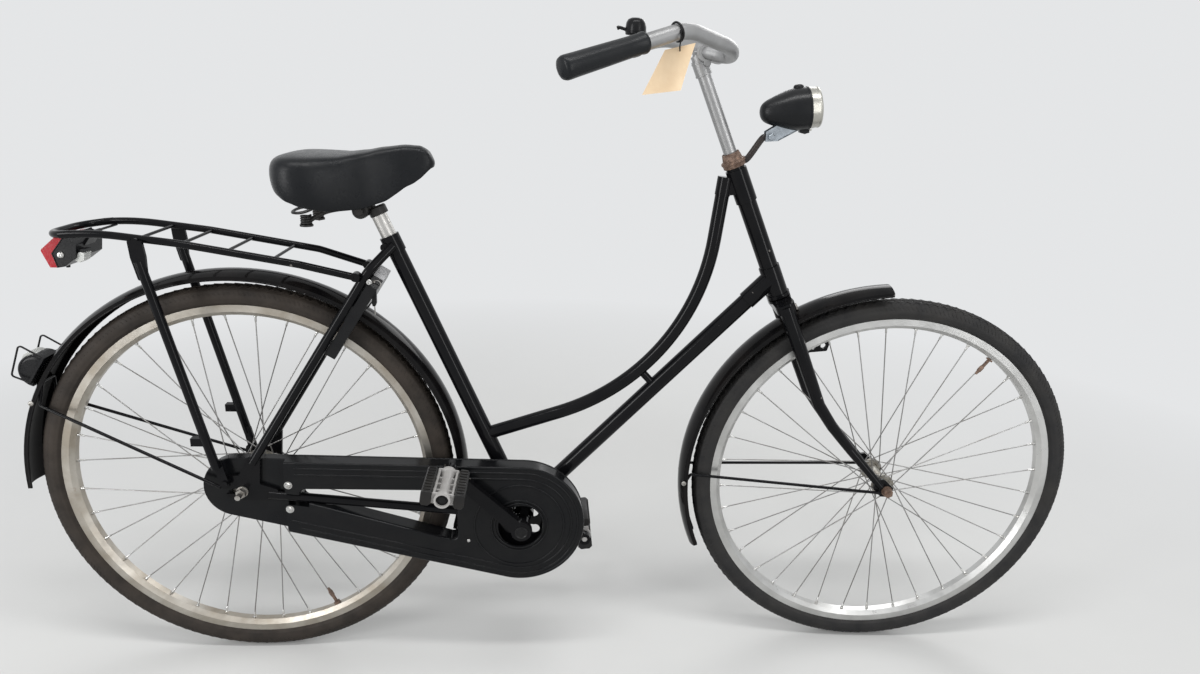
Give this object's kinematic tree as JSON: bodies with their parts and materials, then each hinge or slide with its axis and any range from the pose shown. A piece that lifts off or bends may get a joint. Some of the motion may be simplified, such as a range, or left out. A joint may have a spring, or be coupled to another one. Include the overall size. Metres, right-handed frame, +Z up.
{
  "type": "city bicycle",
  "caption": "City bicycle with a step-through frame, full chaincase, rear carrier, mudguards and swept-back handlebar.",
  "frame": {"origin": "middle of the saddle's top, where the rider holds the bicycle", "axes": "+X forward along the bicycle, +Y to the rider's left, +Z up"},
  "size_m": [1.8994, 0.6025, 1.1808],
  "materials": {
    "frame_enamel": "glossy black enamel, worn",
    "guard_enamel": "glossy black enamel, scratched",
    "black_steel": "black lacquer on springs and arms, worn",
    "rusty_steel": "rusted zinc plate",
    "stainless": "satin steel",
    "zinc_steel": "dull zinc plate with rust",
    "chrome": "bright chrome with pits",
    "alloy": "satin alloy, a little oxidised",
    "tyre": "matt rubber",
    "rubber": "matt rubber",
    "black_plastic": "matt black",
    "case_plastic": "black, half gloss",
    "saddle_cover": "black vinyl cover",
    "grey_plastic": "pale grey",
    "red_lens": "red reflector lens",
    "clear_lens": "ribbed clear lens"
  },
  "bodies": {
    "frame": {"bottom_bracket": "frame_enamel", "head_tube": "frame_enamel", "curved_top_tube": "frame_enamel", "down_tube": "frame_enamel", "seat_tube": "frame_enamel", "chain_stays": "frame_enamel", "seat_stays": "frame_enamel", "rear_axle": "zinc_steel", "seat_post": "alloy", "saddle": "saddle_cover", "saddle_frame": "black_steel", "rear_mudguard": "guard_enamel", "rear_mudguard_wires": "frame_enamel", "chaincase": "case_plastic", "chaincase_cap": "case_plastic", "brake_arm": "stainless", "carrier_rails": "frame_enamel", "carrier_legs": "frame_enamel", "tail_lamp": "black_plastic", "tail_lamp_lens": "red_lens", "mudguard_lamp": "black_plastic", "ring_lock": "black_plastic"},
    "steering": {"fork": "frame_enamel", "front_axle": "rusty_steel", "headset": "rusty_steel", "stem": "alloy", "handlebar": "alloy", "grips": "rubber", "bell": "black_plastic", "headlamp_shell": "black_plastic", "headlamp_ring": "chrome", "headlamp_lens": "clear_lens", "lamp_arm": "stainless", "front_mudguard": "guard_enamel", "front_mudguard_wires": "frame_enamel", "dynamo_bracket": "frame_enamel"},
    "front_wheel": {"front_tyre": "tyre", "front_rim": "alloy", "front_hub": "alloy", "front_spokes": "stainless"},
    "rear_wheel": {"rear_tyre": "tyre", "rear_rim": "alloy", "rear_hub": "alloy", "rear_spokes": "stainless"},
    "crankset": {"chainring": "frame_enamel", "crank_spindle": "zinc_steel", "crank_right": "frame_enamel", "crank_left": "frame_enamel"},
    "pedal_right": {"pedal_right": "rubber"},
    "pedal_left": {"pedal_left": "rubber"}
  },
  "joints": [
    {"name": "steering", "type": "hinge", "parent": "frame", "child": "steering", "pos_m": [0.74281, 0, -0.231], "axis": [-0.4067, 0, 0.9135], "range_deg": [-66.7, 73.3]},
    {"name": "front_wheel_spin", "type": "hinge", "parent": "steering", "child": "front_wheel", "pos_m": [0.9688, -0.00374, -0.57904], "axis": [0.0526, 0.9983, 0.0234], "continuous": true},
    {"name": "rear_wheel_spin", "type": "hinge", "parent": "frame", "child": "rear_wheel", "pos_m": [-0.1911, 0, -0.579], "axis": [0, 1, 0], "continuous": true},
    {"name": "crank_spin", "type": "hinge", "parent": "frame", "child": "crankset", "pos_m": [0.2914, 0, -0.646], "axis": [0, 1, 0], "continuous": true},
    {"name": "pedal_right_spin", "type": "hinge", "parent": "crankset", "child": "pedal_right", "pos_m": [0.16664, 0, -0.5276], "axis": [0, 1, 0], "continuous": true},
    {"name": "pedal_left_spin", "type": "hinge", "parent": "crankset", "child": "pedal_left", "pos_m": [0.41616, 0, -0.7644], "axis": [0, 1, 0], "continuous": true}
  ]
}
